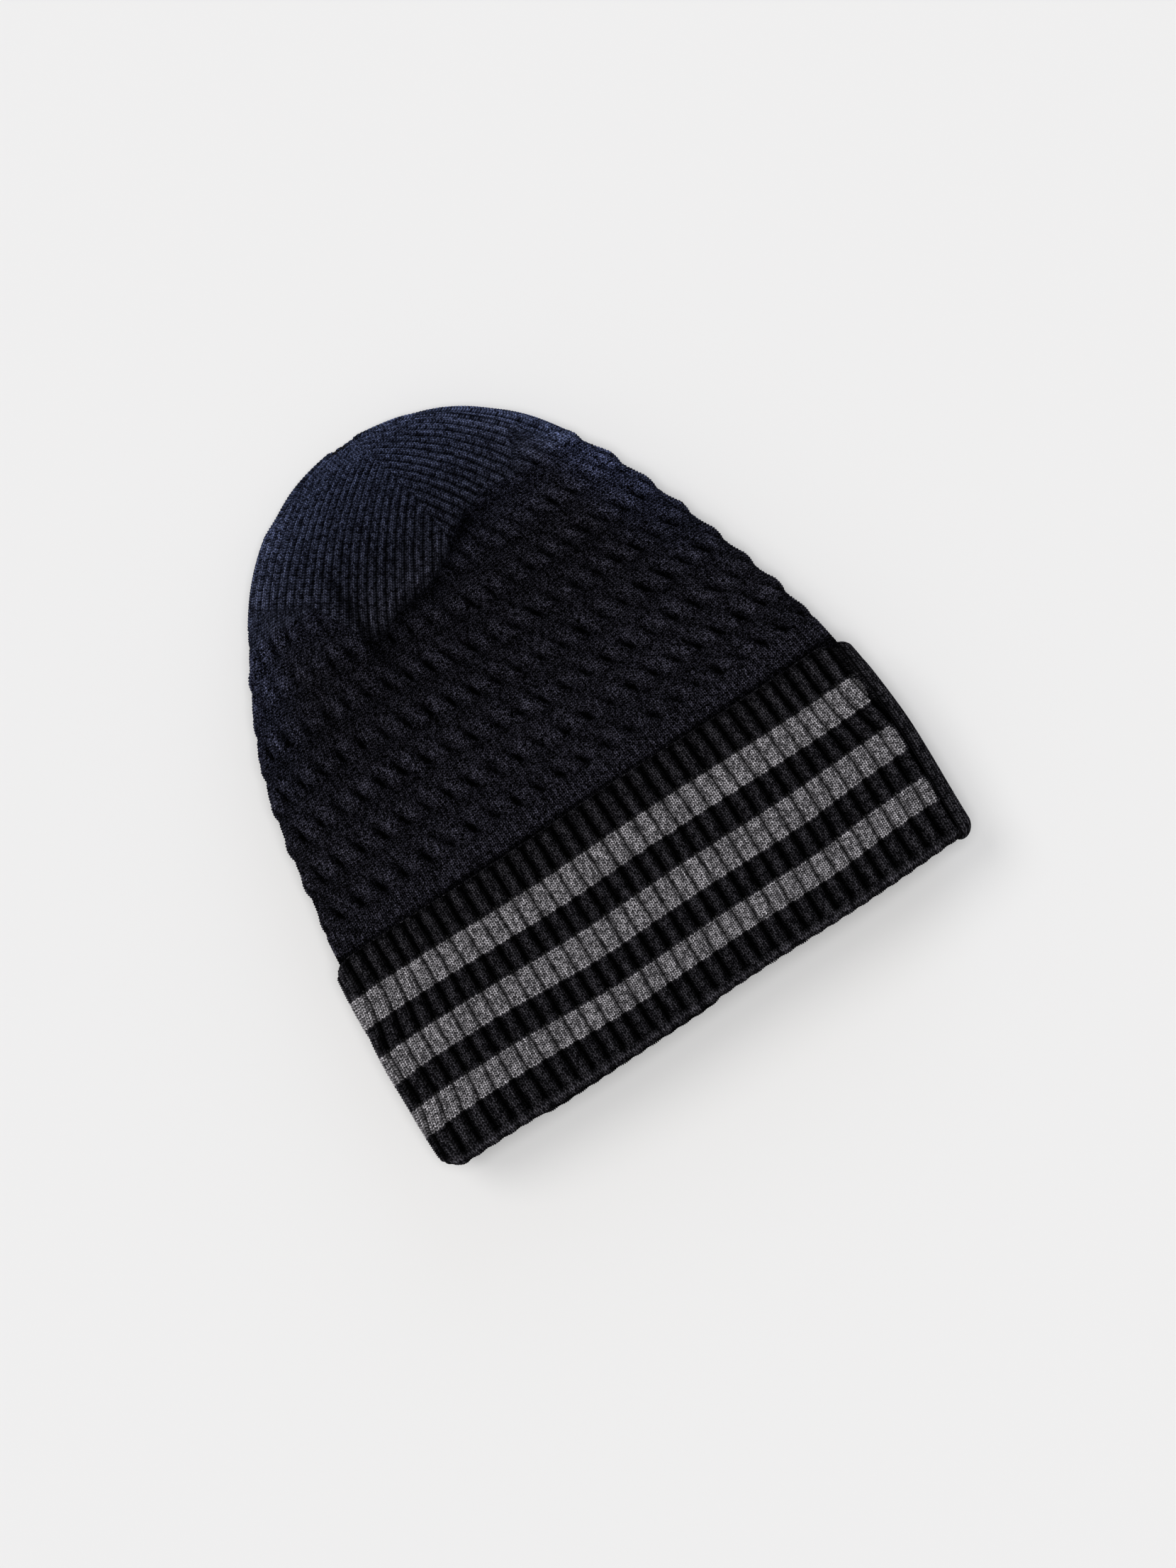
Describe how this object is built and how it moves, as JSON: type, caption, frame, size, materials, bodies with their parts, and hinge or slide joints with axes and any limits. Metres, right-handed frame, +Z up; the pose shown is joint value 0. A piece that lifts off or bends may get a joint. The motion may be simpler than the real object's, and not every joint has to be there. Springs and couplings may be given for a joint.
{
  "type": "knit beanie",
  "caption": "Close-fitting knitted hat lying flat: cable-knit body, ribbed gored crown and a turned-up wide-rib cuff with plain contrast bands.",
  "frame": {"origin": "middle of the hat's underside as it lies on its back, at the centre of its bounding box", "axes": "+Y from the cuff's fold to the crown, +Z up out of the surface it lies on, towards the front of the hat, +X to the side seam"},
  "size_m": [0.2226, 0.2388, 0.0399],
  "materials": {
    "charcoal_crown_rib": "soft matt heathered acrylic-wool rib knit",
    "charcoal_cable_knit": "soft matt heathered acrylic-wool cable knit",
    "charcoal_cuff_rib": "soft matt wide rib knit",
    "grey_stripe_rib": "soft matt marled mid-grey rib knit",
    "seam_yarn": "linked charcoal yarn chain"
  },
  "bodies": {
    "root": {"crown_gore_front_right": "charcoal_crown_rib", "crown_gore_front_left": "charcoal_crown_rib", "crown_gore_back_left": "charcoal_crown_rib", "crown_gore_back_right": "charcoal_crown_rib", "crown_closing_thread": "seam_yarn", "cable_body": "charcoal_cable_knit", "plain_band": "charcoal_cuff_rib", "inner_band": "charcoal_cuff_rib", "cuff_fold_band": "charcoal_cuff_rib", "cuff_stripe_lower": "grey_stripe_rib", "cuff_band_lower": "charcoal_cuff_rib", "cuff_stripe_middle": "grey_stripe_rib", "cuff_band_upper": "charcoal_cuff_rib", "cuff_stripe_upper": "grey_stripe_rib", "cuff_band_top": "charcoal_cuff_rib", "cuff_edge_chain": "seam_yarn", "side_seam": "seam_yarn"}
  },
  "joints": []
}
